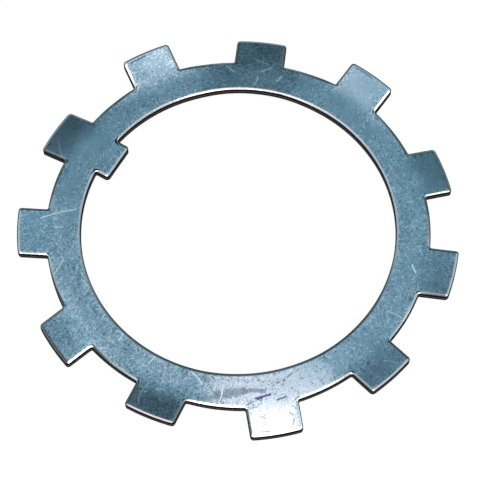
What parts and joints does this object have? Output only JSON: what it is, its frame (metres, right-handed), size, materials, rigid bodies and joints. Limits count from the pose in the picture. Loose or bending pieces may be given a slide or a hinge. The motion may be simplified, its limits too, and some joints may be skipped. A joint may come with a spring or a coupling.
{
  "type": "lock plate",
  "caption": "Thin stamped steel ring with square tabs round its rim, set slightly up and down by turns, and one inner key tab, to lock a slotted round nut on a shaft.",
  "frame": {"origin": "centre of the bore, on the ring's lower face, which lies against the bearing", "axes": "+Z along the bore from the bearing side to the nut side; +Y from the centre through the key tab"},
  "size_m": [0.1398, 0.1389, 0.007],
  "materials": {
    "zinc_plated_steel": "blue-white passivated zinc plate, satin, with fine scratches"
  },
  "bodies": {
    "root": {"lock_plate": "zinc_plated_steel"}
  },
  "joints": []
}
